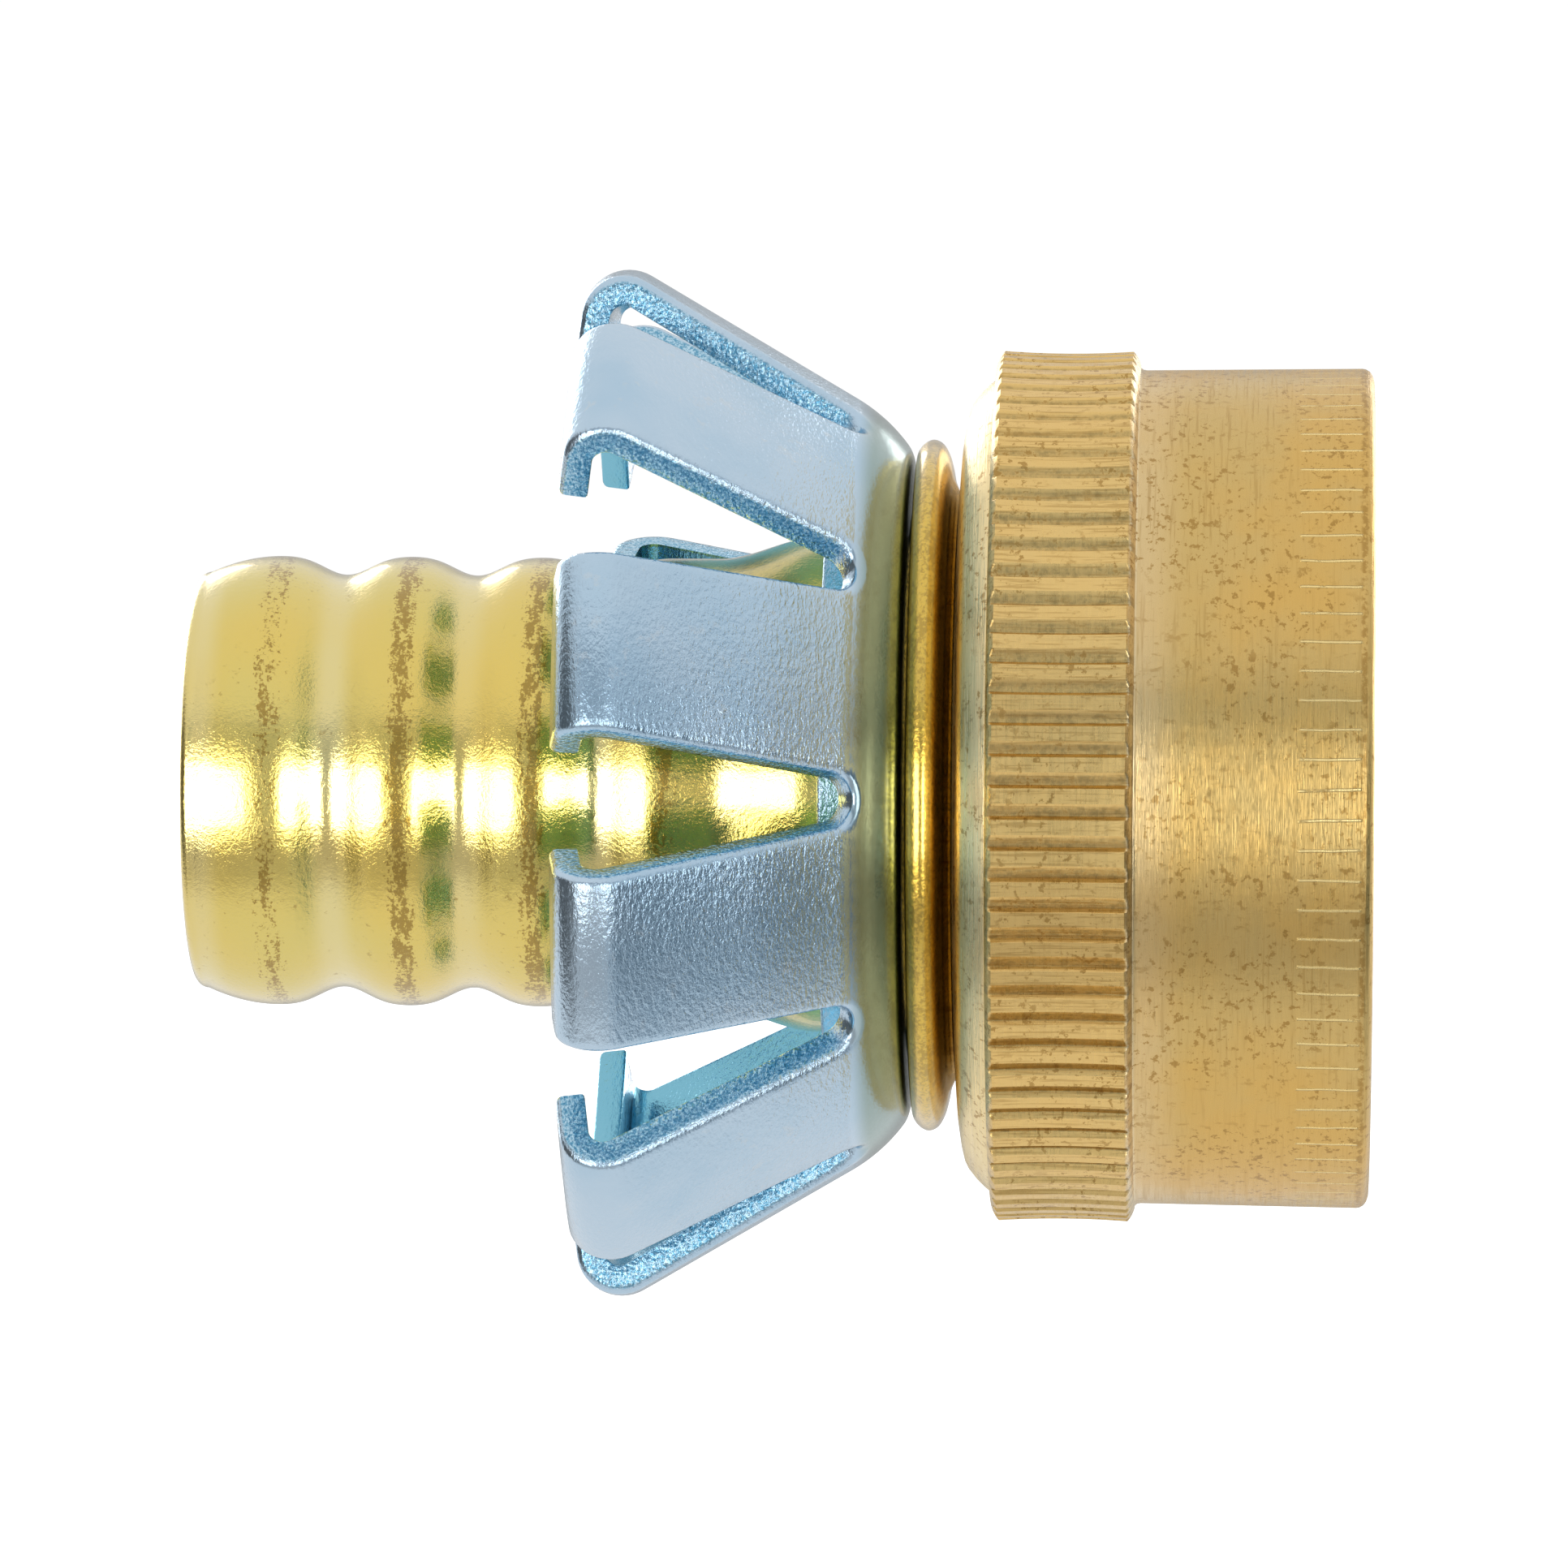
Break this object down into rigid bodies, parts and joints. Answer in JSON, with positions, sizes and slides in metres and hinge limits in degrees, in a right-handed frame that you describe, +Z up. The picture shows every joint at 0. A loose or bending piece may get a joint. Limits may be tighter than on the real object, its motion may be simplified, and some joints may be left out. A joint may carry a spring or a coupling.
{
  "type": "hose coupling",
  "caption": "Garden hose coupling with a barbed brass stem, a steel ring of clinch fingers that bend down over the hose, and a knurled swivel nut with a female hose thread.",
  "frame": {"origin": "on the water way's axis, half way between the stem's end and the nut's mouth", "axes": "+X along the water way, out of the nut's mouth; +Z up, through the middle of the first clinch finger; +Y across"},
  "size_m": [0.0428, 0.0372, 0.0374],
  "materials": {
    "stem_brass": "bright drawn brass with a little tarnish",
    "nut_brass": "satin turned brass",
    "zinc_plated_steel": "bright zinc plating with a blue tint",
    "washer_rubber": "matte"
  },
  "bodies": {
    "root": {"barbed_stem": "stem_brass", "clinch_ring": "zinc_plated_steel"},
    "nut": {"swivel_nut": "nut_brass", "hose_washer": "washer_rubber"},
    "finger_01": {"clinch_finger_01": "zinc_plated_steel"},
    "finger_02": {"clinch_finger_02": "zinc_plated_steel"},
    "finger_03": {"clinch_finger_03": "zinc_plated_steel"},
    "finger_04": {"clinch_finger_04": "zinc_plated_steel"},
    "finger_05": {"clinch_finger_05": "zinc_plated_steel"},
    "finger_06": {"clinch_finger_06": "zinc_plated_steel"},
    "finger_07": {"clinch_finger_07": "zinc_plated_steel"},
    "finger_08": {"clinch_finger_08": "zinc_plated_steel"},
    "finger_09": {"clinch_finger_09": "zinc_plated_steel"},
    "finger_10": {"clinch_finger_10": "zinc_plated_steel"}
  },
  "joints": [
    {"name": "nut_swivel", "type": "hinge", "parent": "root", "child": "nut", "pos_m": [0.007, 0, 0], "axis": [1, 0, 0], "continuous": true},
    {"name": "finger_01_bend", "type": "hinge", "parent": "root", "child": "finger_01", "pos_m": [0.00154, 0, 0.01361], "axis": [0, -1, 0], "range_deg": [0, 33]},
    {"name": "finger_02_bend", "type": "hinge", "parent": "root", "child": "finger_02", "pos_m": [0.00154, -0.008, 0.01101], "axis": [0, -0.809, -0.5878], "range_deg": [0, 33]},
    {"name": "finger_03_bend", "type": "hinge", "parent": "root", "child": "finger_03", "pos_m": [0.00154, -0.01294, 0.0042], "axis": [0, -0.309, -0.9511], "range_deg": [0, 33]},
    {"name": "finger_04_bend", "type": "hinge", "parent": "root", "child": "finger_04", "pos_m": [0.00154, -0.01294, -0.0042], "axis": [0, 0.309, -0.9511], "range_deg": [0, 33]},
    {"name": "finger_05_bend", "type": "hinge", "parent": "root", "child": "finger_05", "pos_m": [0.00154, -0.008, -0.01101], "axis": [0, 0.809, -0.5878], "range_deg": [0, 33]},
    {"name": "finger_06_bend", "type": "hinge", "parent": "root", "child": "finger_06", "pos_m": [0.00154, 0, -0.01361], "axis": [0, 1, 0], "range_deg": [0, 33]},
    {"name": "finger_07_bend", "type": "hinge", "parent": "root", "child": "finger_07", "pos_m": [0.00154, 0.008, -0.01101], "axis": [0, 0.809, 0.5878], "range_deg": [0, 33]},
    {"name": "finger_08_bend", "type": "hinge", "parent": "root", "child": "finger_08", "pos_m": [0.00154, 0.01294, -0.0042], "axis": [0, 0.309, 0.9511], "range_deg": [0, 33]},
    {"name": "finger_09_bend", "type": "hinge", "parent": "root", "child": "finger_09", "pos_m": [0.00154, 0.01294, 0.0042], "axis": [0, -0.309, 0.9511], "range_deg": [0, 33]},
    {"name": "finger_10_bend", "type": "hinge", "parent": "root", "child": "finger_10", "pos_m": [0.00154, 0.008, 0.01101], "axis": [0, -0.809, 0.5878], "range_deg": [0, 33]}
  ]
}
